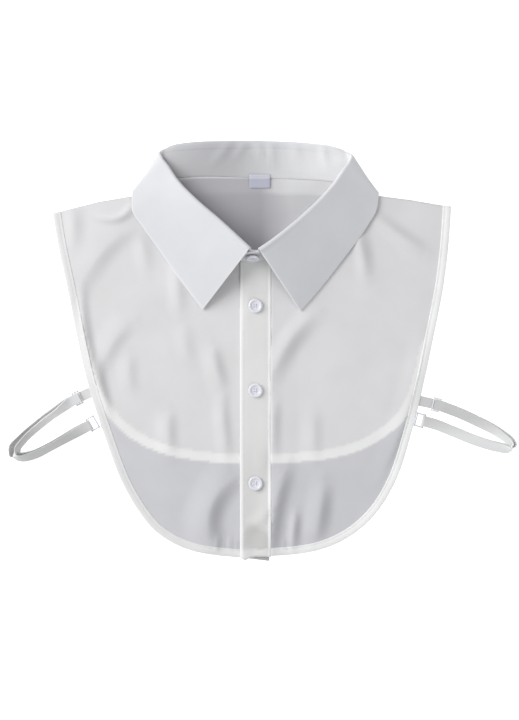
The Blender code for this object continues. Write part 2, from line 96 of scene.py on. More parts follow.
# The collar's sections round the neck: the seam to the stand's foot, the fold, the fall's outer edge
# and the radius of the roll, from the centre back round a shoulder crease to the centre front.
LEFT_COLLAR = [
    Section(-4.5, 156.0, 1.8, -4.5, 186.0, 11.0, -4.5, 142.5, 0.5, 2.1),
    Section(-47.5, 157.5, 1.8, -47.5, 185.5, 11.0, -52.0, 142.0, 0.5, 2.1),
    Section(-84.5, 155.5, 2.2, -78.0, 183.2, 7.6, -96.0, 140.5, 0.5, 2.1),
    Section(-98.5, 150.8, 2.4, -87.0, 180.5, 5.5, -111.0, 145.0, 0.5, 1.8),
    Section(-102.0, 147.4, 2.9, -92.2, 177.0, 7.8, -115.5, 144.5, 2.4, 1.3),
    Section(-102.5, 144.2, 3.7, -90.5, 171.8, 10.4, -117.0, 142.8, 5.0, 1.4),
    Section(-99.5, 138.5, 3.6, -85.5, 164.5, 12.6, -117.5, 129.5, 4.9, 1.8),
    Section(-90.5, 129.5, 3.2, -76.5, 151.0, 17.0, -108.0, 112.0, 4.2, 1.7),
    Section(-78.0, 119.0, 2.4, -64.0, 137.5, 21.0, -96.5, 96.0, 3.7, 1.7),
    Section(-49.0, 101.5, 2.0, -38.5, 115.0, 25.5, -75.5, 66.0, 3.5, 1.7),
    Section(-12.5, 82.6, 2.2, -12.0, 90.4, 28.5, -54.0, 37.5, 4.0, 1.7),
]
RIGHT_COLLAR = [
    LEFT_COLLAR[0],
    Section(42.5, 154.5, 1.8, 38.0, 184.0, 11.0, 44.5, 141.0, 0.5, 2.1),
    Section(74.0, 151.0, 2.2, 67.0, 180.3, 7.6, 84.0, 138.5, 0.5, 2.1),
    Section(86.0, 147.8, 2.4, 74.5, 177.6, 5.5, 97.5, 142.5, 0.5, 1.8),
    Section(89.2, 144.6, 2.9, 79.8, 174.2, 7.8, 102.5, 143.0, 2.4, 1.3),
    Section(89.6, 141.6, 3.7, 78.0, 169.0, 10.4, 104.0, 141.5, 5.0, 1.4),
    Section(86.8, 136.0, 3.6, 73.2, 161.8, 12.6, 102.5, 129.0, 4.9, 1.8),
    Section(78.0, 128.3, 3.2, 64.5, 149.0, 17.0, 94.0, 113.0, 4.2, 1.7),
    Section(60.5, 112.0, 2.8, 45.0, 128.0, 22.0, 72.0, 83.0, 3.7, 1.7),
    Section(35.0, 97.5, 2.8, 24.0, 109.3, 26.0, 52.5, 58.0, 3.5, 1.7),
    Section(9.5, 83.3, 3.5, 6.5, 95.8, 28.8, 40.0, 43.5, 3.6, 1.7),
    Section(-3.5, 81.0, 3.9, -3.0, 89.4, 29.5, 33.5, 36.5, 4.0, 1.7),
]
COLLAR_STEPS = 14


def curve_through(rows, steps, bound=True):
    """Points on a smooth curve through a table's rows, steps to a gap."""
    rows = np.array(rows, float)
    reach = np.linalg.norm(np.diff(rows[:, :2], axis=0), axis=1)[:, None]
    slope = np.diff(rows, axis=0) / reach
    before, after = reach[:-1], reach[1:]
    tangent = np.zeros_like(rows)
    tangent[0], tangent[-1] = slope[0], slope[-1]
    tangent[1:-1] = (slope[:-1] * after + slope[1:] * before) / (before + after)
    if bound:
        limit = 2 * np.minimum(abs(slope[:-1]), abs(slope[1:]))
        limit[slope[:-1] * slope[1:] <= 0] = 0
        tangent[1:-1] = np.clip(tangent[1:-1], -limit, limit)
    points = []
    for i, long in enumerate(reach[:, 0]):
        for t in np.arange(steps) / steps:
            eased = t * t * (3 - 2 * t)
            bowed = t * (1 - t) * ((1 - t) * tangent[i] - t * tangent[i + 1]) * long
            points.append(rows[i] * (1 - eased) + rows[i + 1] * eased + bowed)
    return np.array(points + [rows[-1]])


def moved_left(line, distance):
    """A line in plan moved sideways, to the left of its direction."""
    along = np.gradient(line[:, :2], axis=0)
    along /= np.linalg.norm(along, axis=1)[:, None]
    return line[:, :2] + distance * np.stack([-along[:, 1], along[:, 0]], axis=1)


def beyond(outline, places):
    """How far places lie outside a closed outline: negative inside it."""
    far = np.full(len(places), 1e9)
    inside = np.zeros(len(places), bool)
    for start, end in zip(outline, np.roll(outline, -1, axis=0)):
        run, to = end - start, places - start
        share = np.clip(to @ run / (run @ run), 0, 1)
        far = np.minimum(far, np.linalg.norm(to - share[:, None] * run, axis=1))
        if start[1] != end[1]:
            crossing = start[0] + (places[:, 1] - start[1]) * run[0] / run[1]
            level = (start[1] > places[:, 1]) != (end[1] > places[:, 1])
            inside ^= level & (places[:, 0] < crossing)
    return np.where(inside, -far, far)


def rising(values, start, end):
    """How far values have come from start to end, from 0 to 1."""
    return np.clip((values - start) / (end - start), 0, 1)


def within(outline, places):
    """1 for places inside a closed outline and 0 outside, blurred at its edge."""
    return np.clip(0.5 - beyond(outline, places) / EDGE_BLUR, 0, 1)


def rest_height(places, layers):
    """The height that a cloth's underside rests at over the layers below it."""
    height = np.zeros(len(places))
    for outline in layers:
        share = np.clip(1 - (beyond(outline, places) - 1.5) / LIE_DOWN, 0, 1)
        height += LAYER * share
    return height


def crease_rise(places, creases, hollow=False):
    """The rise of folds along arcs that fade at their ends, or the painted shade of the hollows beside
    them.

    A fold is soft and as wide as its width on the right of its run. On the left it has a sharp crest
    and drops over its width times its lean into a hollow.
    """
    rise = np.zeros(len(places))
    for crease in creases:
        start = np.array([crease.start_x, crease.start_y])
        bend = np.array([crease.bend_x, crease.bend_y])
        end = np.array([crease.end_x, crease.end_y])
        nearest = np.full(len(places), 1e9)
        fade = np.zeros(len(places))
        left = np.zeros(len(places), bool)
        for t in np.linspace(0, 1, 33):
            middle = (1 - t) ** 2 * start + 2 * t * (1 - t) * bend + t * t * end
            run = (1 - t) * (bend - start) + t * (end - bend)
            to = places - middle
            far = np.linalg.norm(to, axis=1)
            closer = far < nearest
            nearest = np.where(closer, far, nearest)
            fade = np.where(closer, math.sin(math.pi * (0.04 + 0.92 * t)) ** 0.8, fade)
            left = np.where(closer, run[0] * to[:, 1] - run[1] * to[:, 0] > 0, left)
        soft = np.cos(np.clip(nearest / crease.width, 0, 1) * math.pi / 2) ** 2
        down = np.clip(nearest / (crease.width * crease.lean), 0, 1)
        if hollow:
            rise += crease.rise * fade * left * np.sin(math.pi * down**0.7) ** 2
        else:
            rise += crease.rise * fade * np.where(left, (1 - down) ** 2, soft)
    return rise


def collar_half(half):
    """One half of the collar in close sections, each with its directions up and out."""
    rows = curve_through([(s.fold_x, s.fold_y, *s) for s in half], COLLAR_STEPS)[:, 2:]
    up = rows[:, 3:6] - rows[:, 0:3]
    up /= np.linalg.norm(up, axis=1)[:, None]
    out = np.cross(np.gradient(rows[:, 3:6], axis=0), up)
    out /= np.linalg.norm(out, axis=1)[:, None]
    return rows, up, out


left_rows, left_up, left_out = collar_half(LEFT_COLLAR)
right_rows, right_up, right_out = collar_half(RIGHT_COLLAR)
collar = np.concatenate([left_rows[::-1], right_rows[1:]])
collar_up = np.concatenate([left_up[::-1], right_up[1:]])
collar_out = np.concatenate([left_out[::-1], -right_out[1:]])
centre_back = (len(LEFT_COLLAR) - 1) * COLLAR_STEPS
left_corner = centre_back - 4 * COLLAR_STEPS
right_corner = centre_back + 4 * COLLAR_STEPS
back_part = slice(left_corner, right_corner + 1)
neck_seam = collar[:, 0:2]
back_neck = moved_left(neck_seam, -NECK_SEAM)[back_part][::4]
fall_under = np.concatenate([collar[back_part, 6:8], collar[back_part, 3:5][::-1]])[::4]

back_edge = curve_through(BACK_EDGE, 6, bound=False)
back_whole = np.concatenate([back_edge[::2], RIGHT_SHOULDER[::-1], back_neck[::-1], LEFT_SHOULDER[::-1]])


def cut_cloth(outline, cell=CLOTH_CELL):
    """A fine square net of cloth, cut along a closed outline."""
    low, high = outline.min(axis=0) - cell, outline.max(axis=0) + cell
    across, along = ((high - low) / cell).astype(int)
    body = bmesh.new()
    bmesh.ops.create_grid(body, x_segments=int(across), y_segments=int(along), size=0.5)
    bmesh.ops.scale(body, vec=(high[0] - low[0], high[1] - low[1], 1), verts=body.verts)
    bmesh.ops.translate(body, vec=(*((low + high) / 2), 0), verts=body.verts)
    faces = body.faces[:]
    away = beyond(outline, np.array([f.calc_center_median()[:2] for f in faces]))
    border = {f for f, far in zip(faces, away) if abs(far) < 1.5 * cell}
    bmesh.ops.delete(body, geom=[f for f, far in zip(faces, away) if far >= 1.5 * cell], context="FACES")
    for start, end in zip(outline, np.roll(outline, -1, axis=0)):
        middle = Vector((*((start + end) / 2), 0))
        reach = np.linalg.norm(end - start) / 2 + cell
        near = [f for f in border if (f.calc_center_median() - middle).length < reach]
        parts = {v for f in near for v in f.verts} | {e for f in near for e in f.edges}
        cut = bmesh.ops.bisect_plane(
            body,
            geom=near + list(parts),
            dist=1e-4,
            plane_co=(*start, 0),
            plane_no=(end[1] - start[1], start[0] - end[0], 0),
        )
        border = {f for f in border if f.is_valid}
        border |= {part for part in cut["geom"] if isinstance(part, bmesh.types.BMFace)}
    faces = body.faces[:]
    away = beyond(outline, np.array([f.calc_center_median()[:2] for f in faces]))
    bmesh.ops.delete(body, geom=[f for f, far in zip(faces, away) if far > 0], context="FACES")
    bmesh.ops.remove_doubles(body, verts=body.verts, dist=0.12)
    return body


def places_of(body):
    """Where a laid cloth's points are in plan."""
    return np.array([v.co[:2] for v in body.verts])


def set_heights(body, heights):
    """Set the height of each point of a laid cloth."""
    for vert, z in zip(body.verts, heights):
        vert.co.z = z


def add_piece(name, body, paint):
    """Make an object in metres of a bmesh in millimetres, riding on the garment."""
    bmesh.ops.scale(body, vec=(MM, MM, MM), verts=body.verts)
    mesh = bpy.data.meshes.new(name)
    body.to_mesh(mesh)
    body.free()
    mesh.materials.append(paint)
    mesh.shade_smooth()
    piece = bpy.data.objects.new(name, mesh)
    bpy.context.collection.objects.link(piece)
    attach(piece, "root")
    return piece


def thicken(piece, thick, rounded=False, lining=0):
    """Give a piece of cloth its thickness, half to either side, and soften its rim."""
    wall = piece.modifiers.new("thickness", "SOLIDIFY")
    wall.thickness = thick * MM
    wall.offset = 0
    wall.material_offset = lining
    if rounded:
        rim = piece.modifiers.new("rim", "BEVEL")
        rim.width = thick * 0.35 * MM
        rim.segments = 2
        rim.limit_method = "ANGLE"
        rim.angle_limit = math.radians(60)


def mark(piece, name, values):
    """Keep a value at each point of a piece for its material."""
    layer = piece.data.attributes.new(name, "FLOAT", "POINT")
    layer.data.foreach_set("value", np.array(values, dtype=np.float32))


def plug(tree, node, inputs):
    """Set a node's inputs, each to a value or to another node's output."""
    for name, value in inputs.items():
        if isinstance(value, bpy.types.NodeSocket):
            tree.links.new(value, node.inputs[name])
        else:
            node.inputs[name].default_value = value


def add_node(tree, kind, inputs, **settings):
    """A new shader node with its settings and its inputs."""
    node = tree.nodes.new(f"ShaderNode{kind}")
    for name, value in settings.items():
        setattr(node, name, value)
    plug(tree, node, inputs)
    return node


def noise(tree, size, detail=2.0):
    """Noise with lumps of a size in millimetres, fixed to the object."""
    where = add_node(tree, "TexCoord", {}).outputs["Object"]
    inputs = {"Vector": where, "Scale": 1 / (size * MM), "Detail": detail}
    return add_node(tree, "TexNoise", inputs).outputs["Fac"]


def mixed(tree, share, first, second):
    """A mix of two colours, each a value or another node's output."""
    inputs = {"Factor": share}
    for side, colour in (("A", first), ("B", second)):
        inputs[side] = (*colour, 1) if isinstance(colour, tuple) else colour
    return add_node(tree, "Mix", inputs, data_type="RGBA").outputs["Result"]


def marked(tree, name):
    """The value that mark keeps at each point of a piece, or 0 where it kept none."""
    return add_node(tree, "Attribute", {}, attribute_name=name).outputs["Fac"]


def raise_by(tree, shader, height, depth, strength):
    """Roughen a paint's surface by a height, as deep as depth in millimetres."""
    inputs = {"Height": height, "Distance": depth * MM, "Strength": strength}
    plug(tree, shader, {"Normal": add_node(tree, "Bump", inputs).outputs["Normal"]})


def new_paint(name, inputs):
    """A new material with its node tree and its shader, whose inputs are set."""
    paint = bpy.data.materials.new(name)
    paint.use_nodes = True
    shader = paint.node_tree.nodes["Principled BSDF"]
    plug(paint.node_tree, shader, inputs)
    return paint, paint.node_tree, shader


def crepe_group():
    """The crepe's thread, pebble and ripple as a height, and its soft unevenness as a shade."""
    group = bpy.data.node_groups.new("crepe", "ShaderNodeTree")
    for name in ("Height", "Shade"):
        group.interface.new_socket(name=name, in_out="OUTPUT", socket_type="NodeSocketFloat")
    height = 0.0
    for size, amount in ((0.55, 0.35), (1.4, 0.4), (11.0, 1.2)):
        inputs = {0: noise(group, size, 1.0), 1: amount, 2: height}
        height = add_node(group, "Math", inputs, operation="MULTIPLY_ADD").outputs[0]
    plug(group, group.nodes.new("NodeGroupOutput"), {"Height": height, "Shade": noise(group, 38.0)})
    return group


CREPE = crepe_group()


def cloth_paint(name, colour, other=None, attribute=None, third=None, bump=0.05, rough=0.8, sheen=0.2):
    """White cloth. An attribute of 0 gives the first colour, 1 the second and 2 the third.

    Where the attribute "hollow" is above 0 the colour is that share darker, as painted shade in the hollows
    of folds.
    """
    look = {"Roughness": rough, "Sheen Weight": sheen, "Specular IOR Level": 0.25}
    paint, tree, shader = new_paint(name, look)
    crepe = add_node(tree, "Group", {}, node_tree=CREPE)
    tint = colour
    if attribute:
        tone = marked(tree, attribute)
        tint = mixed(tree, tone, colour, other)
    if third:
        past = add_node(tree, "Math", {0: tone, 1: 1}, operation="SUBTRACT", use_clamp=True).outputs[0]
        tint = mixed(tree, past, tint, third)
    spread = {"From Min": 0.3, "From Max": 0.7, "To Min": 0.965, "To Max": 1.02}
    shade = add_node(tree, "MapRange", {"Value": crepe.outputs["Shade"], **spread}).outputs["Result"]
    kept = add_node(tree, "Math", {0: 1, 1: marked(tree, "hollow")}, operation="SUBTRACT").outputs[0]
    dimmed = add_node(tree, "Math", {0: shade, 1: kept}, operation="MULTIPLY").outputs[0]
    shaded = add_node(tree, "VectorMath", {0: tint, "Scale": dimmed}, operation="SCALE")
    plug(tree, shader, {"Base Color": shaded.outputs["Vector"]})
    raise_by(tree, shader, crepe.outputs["Height"], bump, 0.6)
    return paint


outline = np.concatenate(
    [
        moved_left(back_edge, BINDING - UNDER_BINDING)[::2],
        RIGHT_SHOULDER[1::-1],
        back_neck[::-1],
        LEFT_SHOULDER[1:][::-1],
    ]
)
cloth = cut_cloth(outline)
places = places_of(cloth)
set_heights(cloth, MID_OF_WALL + rest_height(places, [fall_under]))
# Painted shade and light: dark at the left of the neck and lighter to the right, lighter by the left leaf's
# fold, and lighter over the fall's back, where it lies doubled.
over_fall = within(fall_under, places)
lit = rising(places[:, 0], -2, 26)
left_seam = np.interp(places[:, 1], left_rows[::-1, 1], left_rows[::-1, 0])
fold_painted_light = 1 - rising(places[:, 0] - left_seam, 0, 26)
back_paint = cloth_paint("back crepe", BACK_PAINTED_SHADE_COLOUR, BACK_COLOUR, "tone", BACK_OVER_FALL_COLOUR)
back_bib = add_piece("back_bib_cloth", cloth, back_paint)
mark(back_bib, "tone", lit + 1.5 * fold_painted_light + over_fall * (0.15 + 0.85 * lit))
back_bib.data.materials.append(cloth_paint("back crepe underneath", BACK_COLOUR))
thicken(back_bib, CLOTH_THICK, lining=1)
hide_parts("back_bib")

# The bindings
# Strips of the same crepe folded round each bib's free edge and stitched down 2 mm from their inner
# edge. A strip is one folded sheet: over the edge, round it and back underneath.
# The binding's colours: painted shade, its own and painted light.
BINDING_SHADED_COLOUR = (0.52, 0.52, 0.52)
BINDING_COLOUR = (0.80, 0.80, 0.79)
BINDING_LIT_COLOUR = (0.97, 0.97, 0.96)
THREAD_COLOUR = (0.93, 0.93, 0.93)
BINDING_TOP = 1.05
BINDING_FOOT = 0.12
BINDING_THICK = 0.22
SEAM_IN, SEAM_SHOULDER = 2.0, 1.3
STITCH_LENGTH = 2.0
STITCH_PITCH = 2.7
STITCH_RADIUS = 0.17


def even_line(line, pitch):
    """Points at an even pitch along a line."""
    steps = np.linalg.norm(np.diff(line, axis=0), axis=1)
    run = np.concatenate([[0], np.cumsum(steps)])
    marks = np.linspace(0, run[-1], max(2, round(run[-1] / pitch)) + 1)
    return np.stack([np.interp(marks, run, line[:, axis]) for axis in range(line.shape[1])], axis=1)


def sheet_of(rows):
    """A sheet of cloth through rows of points."""
    across, along = len(rows[0]), len(rows)
    body = bmesh.new()
    bmesh.ops.create_grid(body, x_segments=across - 1, y_segments=along - 1, size=1)
    body.verts.ensure_lookup_table()
    for place, vert in zip((p for row in rows for p in row), body.verts):
        vert.co = place
    return body


def stitches(name, lines, paint):
    """Rows of machine stitches, each a short bead of thread lying on the cloth."""
    body = bmesh.new()
    for line in lines:
        line = even_line(line, STITCH_PITCH)
        for start, end in zip(line, line[1:]):
            along = Vector(end - start).normalized()
            turn = Vector((0, 0, 1)).rotation_difference(along).to_matrix().to_4x4()
            size = Matrix.Diagonal((STITCH_RADIUS, STITCH_RADIUS, STITCH_LENGTH / 2, 1))
            place = Matrix.Translation(Vector((start + end) / 2)) @ turn @ size
            bmesh.ops.create_uvsphere(body, u_segments=6, v_segments=4, radius=1, matrix=place)
    return add_piece(name, body, paint)


def clouded(tree, size, colour, least):
    """A colour that noise darkens to its least share."""
    return mixed(tree, noise(tree, size), tuple(c * least for c in colour), colour)


THREAD, tree, shader = new_paint("white thread", {"Roughness": 0.6, "Sheen Weight": 0.3})
plug(tree, shader, {"Base Color": clouded(tree, 0.3, THREAD_COLOUR, 0.9)})
BINDING_PAINT = cloth_paint(
    "binding crepe", BINDING_SHADED_COLOUR, BINDING_COLOUR, "tone", BINDING_LIT_COLOUR, bump=0.06, rough=0.7
)


def bind(node, edge, side, layers, creases=()):
    """A binding round one bib's edge; side is 1 where the bib lies to the left of the edge's run."""
    edge = even_line(edge, 2.0)
    run = np.arange(len(edge)) * 2.0
    wander = 0.10 * np.sin(run * 0.61) + 0.07 * np.sin(run * 1.43 + 1)
    under, high = BINDING_FOOT, BINDING_TOP
    profile = [(BINDING, 0.72), (BINDING - 0.5, 0.98), (BINDING - SEAM_SHOULDER, 0.98)]
    profile += [(BINDING - SEAM_IN, 0.72), (BINDING - 2.8, high), (BINDING * 0.4, high + 0.06)]
    profile += [(1.6, high), (0.8, 0.86), (0.3, 0.62), (0.11, 0.4), (0.35, 0.2), (1.2, under)]
    profile += [(BINDING * 0.4, under), (BINDING - 2.6, under)]
    profile += [(BINDING - SEAM_SHOULDER, under + 0.06), (BINDING - 0.3, under + 0.05)]
    lines = []
    for reach, height in profile:
        line = moved_left(edge, side * reach)
        rest = rest_height(line, layers) + crease_rise(line, creases)
        puff = 0.5 * wander * (reach / BINDING) * (height > 0.3)
        lines.append(np.column_stack([line, rest + height + puff]))
    rows = np.stack(lines, axis=1)
    piece = add_piece(f"{node}_cloth", sheet_of(rows), BINDING_PAINT)
    x, y = rows[..., 0].ravel(), rows[..., 1].ravel()
    # Painted light makes it brighter towards the right, and painted shade darkens it where the button
    # stand's foot lies under the placket.
    placket_painted_shade = rising(x, -12, -6) * (x < 7) * (y < -150)
    mark(piece, "tone", (1 + rising(x, -60, 90)) * (1 - placket_painted_shade))
    thicken(piece, BINDING_THICK)
    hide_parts(node)
    seam = lines[3] + [0, 0, BINDING_THICK / 2 + STITCH_RADIUS * 0.4]
    thread = stitches(f"{node}_stitches", [seam], THREAD)


bind("back_binding", back_edge, 1, [fall_under])

# The front bibs
# Two half fronts of the same thin crepe, bound round the outer edge and sewn in at the neck and the
# shoulders. The left one carries the button stand under the placket. Soft folds run down to the hem,
# and the back bib's hem and binding show faintly through the single layer.
SINGLE_COLOUR = (0.640, 0.640, 0.665)
DOUBLE_COLOUR = (0.760, 0.755, 0.762)
OVER_HEM_COLOUR = (0.88, 0.88, 0.87)
# Painted shade in the hollows beside the front's folds: its share per millimetre of fold, and its most.
HOLLOW_SHADE = 0.045
DEEPEST_SHADE = 0.3
HEM_BAND = 1.8
BUTTON_STAND_RIGHT, BUTTON_STAND_TOP, BUTTON_STAND_FOOT = 5.5, 81.6, -188.5
PLACKET_LEFT, PLACKET_RIGHT = -20.5, 7.5
PLACKET_TOP, PLACKET_FOOT = 80.0, -184.5

LEFT_EDGE = [
    Place(-189.0, 124.5),
    Place(-185.0, 100.5),
    Place(-175.5, 55.5),
    Place(-166.5, 10.5),
    Place(-157.5, -28.5),
    Place(-143.5, -72.5),
    Place(-124.0, -123.0),
    Place(-112.5, -142.5),
    Place(-98.5, -160.0),
    Place(-82.5, -171.5),
    Place(-63.0, -179.5),
    Place(-41.0, -183.5),
    Place(-20.5, -185.5),
    Place(BUTTON_STAND_RIGHT, BUTTON_STAND_FOOT),
]
RIGHT_EDGE = [
    Place(169.5, 130.5),
    Place(167.5, 100.5),
    Place(162.0, 55.5),
    Place(153.0, 10.5),
    Place(144.5, -30.0),
    Place(135.0, -69.0),
    Place(116.5, -123.0),
    Place(102.5, -145.0),
    Place(85.5, -161.5),
    Place(69.5, -171.5),
    Place(49.5, -179.0),
    Place(30.0, -182.5),
    Place(PLACKET_RIGHT + 0.3, -184.0),
]
LEFT_CREASES = [
    Crease(-23.0, -112.0, -62.0, -138.0, -42.0, -183.0, 26.0, 0.7, 5.3),
    Crease(-40.0, -166.0, -41.0, -174.0, -41.0, -179.5, 3.0, 0.9, 1.8),
    Crease(-29.0, -166.0, -29.5, -174.0, -28.5, -179.5, 3.0, 0.9, 1.62),
    Crease(-23.5, -168.0, -24.0, -176.0, -23.0, -180.5, 2.6, 1.0, 1.44),
    Crease(-112.0, 112.0, -143.0, 104.0, -168.0, 50.0, 40.0, 0.42, 2.4),
    Crease(-117.0, 133.0, -125.0, 113.0, -151.0, 122.0, 5.0, 1.6, 2.47),
    Crease(-172.0, 130.0, -168.0, 114.0, -171.0, 92.0, 12.0, 1.2, 1.7),
    Crease(-162.0, 58.0, -164.0, 8.0, -138.0, -58.0, 7.0, 1.3, 3.38),
    Crease(-148.0, -6.0, -147.0, -30.0, -138.0, -52.0, 5.0, 1.8, 2.21),
    Crease(-118.0, 26.0, -138.0, 10.0, -147.0, -20.0, 20.0, 0.7, 2.0),
    Crease(-120.0, -2.0, -121.0, -20.0, -118.0, -36.0, 14.0, 0.9, 1.4),
    Crease(-112.0, 106.0, -106.0, 92.0, -104.0, 70.0, 12.0, 1.1, 1.4),
    Crease(-78.0, 86.0, -76.0, 58.0, -75.0, 34.0, 12.0, 1.1, 1.8),
    Crease(-45.0, 4.0, -43.0, -14.0, -35.0, -34.0, 15.0, 0.8, 2.6),
    Crease(-70.0, 26.0, -71.0, 8.0, -66.0, -10.0, 12.0, 1.1, 1.0),
    Crease(-36.0, -38.0, -36.0, -62.0, -31.0, -98.0, 12.0, 0.8, 2.0),
    Crease(-84.0, -54.0, -86.0, -72.0, -82.0, -92.0, 15.0, 0.8, 2.21),
]
RIGHT_CREASES = [
    Crease(22.0, -104.0, 7.0, -142.0, 6.5, -190.0, 18.0, 0.75, 4.8),
    Crease(30.0, -144.0, 27.0, -160.0, 27.0, -178.5, 6.0, 1.6, 3.6),
    Crease(55.0, -118.0, 52.0, -146.0, 47.0, -170.0, 16.0, 0.9, 4.0),
    Crease(19.0, -168.0, 19.0, -174.0, 20.0, -179.0, 2.6, 1.0, 1.44),
    Crease(47.0, 34.0, 20.0, 12.0, 5.0, -30.0, 14.0, 1.2, 3.4),
    Crease(98.0, 124.0, 124.0, 102.0, 146.0, 90.0, 13.0, 0.9, 2.2),
    Crease(84.0, 112.0, 90.0, 92.0, 93.0, 66.0, 10.0, 1.3, 2.8),
    Crease(147.0, 14.0, 140.0, -40.0, 108.0, -112.0, 18.0, 0.35, 2.16),
    Crease(12.0, -42.0, 8.0, -66.0, 11.0, -96.0, 10.0, 1.0, 2.21),
    Crease(46.0, -54.0, 45.0, -76.0, 47.0, -96.0, 14.0, 0.9, 1.56),
    Crease(7.3, 76.0, 7.3, -60.0, 7.3, -190.0, 1.0, 5.0, 0.4),
]

left_edge = curve_through(LEFT_EDGE, 6, bound=False)
right_edge = curve_through(RIGHT_EDGE, 6, bound=False)
left_neck = moved_left(neck_seam, NECK_SEAM)[: left_corner - COLLAR_STEPS // 2 : 3]
right_neck = moved_left(neck_seam, NECK_SEAM)[right_corner + COLLAR_STEPS // 2 :: 3]
right_top = np.interp(PLACKET_RIGHT, right_neck[::-1, 0], right_neck[::-1, 1])
right_neck = right_neck[right_neck[:, 0] > PLACKET_RIGHT + 2]
placket_box = np.array(
    [
        (PLACKET_LEFT, PLACKET_FOOT),
        (BUTTON_STAND_RIGHT, PLACKET_FOOT),
        (BUTTON_STAND_RIGHT, PLACKET_TOP),
        (PLACKET_LEFT, PLACKET_TOP),
    ]
)
under_left = [fall_under, back_whole]
under_right = [fall_under, back_whole, placket_box]
FRONT_PAINT = cloth_paint("front crepe", SINGLE_COLOUR, DOUBLE_COLOUR, "lining", OVER_HEM_COLOUR)


def front_bib(node, outline, layers, creases):
    """One half of the front, its folds pressed soft and its tone following what lies under it."""
    cloth = cut_cloth(outline)
    places = places_of(cloth)
    set_heights(cloth, MID_OF_WALL + rest_height(places, layers) + crease_rise(places, creases))
    piece = add_piece(f"{node}_cloth", cloth, FRONT_PAINT)
    inside = -beyond(back_whole, places)
    near_hem = (inside > 0) & (inside < BINDING + 1.5) & (places[:, 1] < 10)
    band = np.clip(HEM_BAND * (1 - abs(inside - BINDING / 2) / BINDING), 0, 1) * near_hem
    mark(piece, "lining", within(back_whole, places) + band)
    # Painted shade: the cloth is drawn darker in the hollows beside its folds.
    hollow = HOLLOW_SHADE * crease_rise(places, creases, hollow=True)
    mark(piece, "hollow", np.minimum(hollow, DEEPEST_SHADE))
    thicken(piece, CLOTH_THICK)
    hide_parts(node)


front_bib(
    "front_bib_left",
    np.concatenate(
        [
            moved_left(left_edge, BINDING - UNDER_BINDING)[::2],
            [(BUTTON_STAND_RIGHT, BUTTON_STAND_TOP)],
            left_neck,
            LEFT_SHOULDER[1:][::-1],
        ]
    ),
    under_left,
    LEFT_CREASES,
)
bind("front_binding_left", left_edge, 1, under_left, LEFT_CREASES)


def clear_of_placket(line):
    """A line of the right bib, kept clear of the placket."""
    return np.column_stack([np.maximum(line[:, 0], PLACKET_RIGHT - 0.6), line[:, 1]])


front_bib(
    "front_bib_right",
    np.concatenate(
        [
            clear_of_placket(moved_left(right_edge, UNDER_BINDING - BINDING))[::2],
            [(PLACKET_RIGHT - 0.6, right_edge[-1, 1] + BINDING - UNDER_BINDING)],
            [(PLACKET_RIGHT - 0.6, right_top)],
            right_neck[::-1],
            RIGHT_SHOULDER[:-1],
        ]
    ),
    under_right,
    RIGHT_CREASES,
)
right_bound = right_edge[right_edge[:, 0] > PLACKET_RIGHT + 0.25]
bind("front_binding_right", right_bound, -1, under_right, RIGHT_CREASES)

# The placket
# A folded band of the crepe down the right front's edge, stitched along both sides and lapped over
# the button stand. Its foot is turned up and a little puckered.
# The placket's colours: painted shade, its own and painted light.
PLACKET_SHADED_COLOUR = (0.60, 0.595, 0.585)
PLACKET_COLOUR = (0.80, 0.795, 0.785)
PLACKET_LIT_COLOUR = (0.93, 0.93, 0.92)
PLACKET_CREASES = [
    Crease(7.0, -141.0, -2.0, -153.0, -14.0, -162.0, 9.0, 1.1, 3.0),
    Crease(-12.0, -176.0, -2.0, -172.0, 6.0, -178.0, 3.0, 1.0, 0.98),
    Crease(-18.0, -181.0, -12.0, -175.0, -6.0, -181.0, 3.0, 1.0, 0.98),
    Crease(-15.0, 62.0, -12.0, 40.0, -16.0, 20.0, 6.0, 1.0, 0.7),
    Crease(-1.0, -84.0, 1.0, -98.0, -2.0, -112.0, 6.0, 1.0, 0.84),
]
PLACKET_PAINT = cloth_paint(
    "placket crepe", PLACKET_SHADED_COLOUR, PLACKET_COLOUR, "tone", PLACKET_LIT_COLOUR
)
FOOT_BAND = 8.5
CORNER_DROP, CORNER_LIFT = 3.6, 1.1
PLACKET_THICK = 0.3


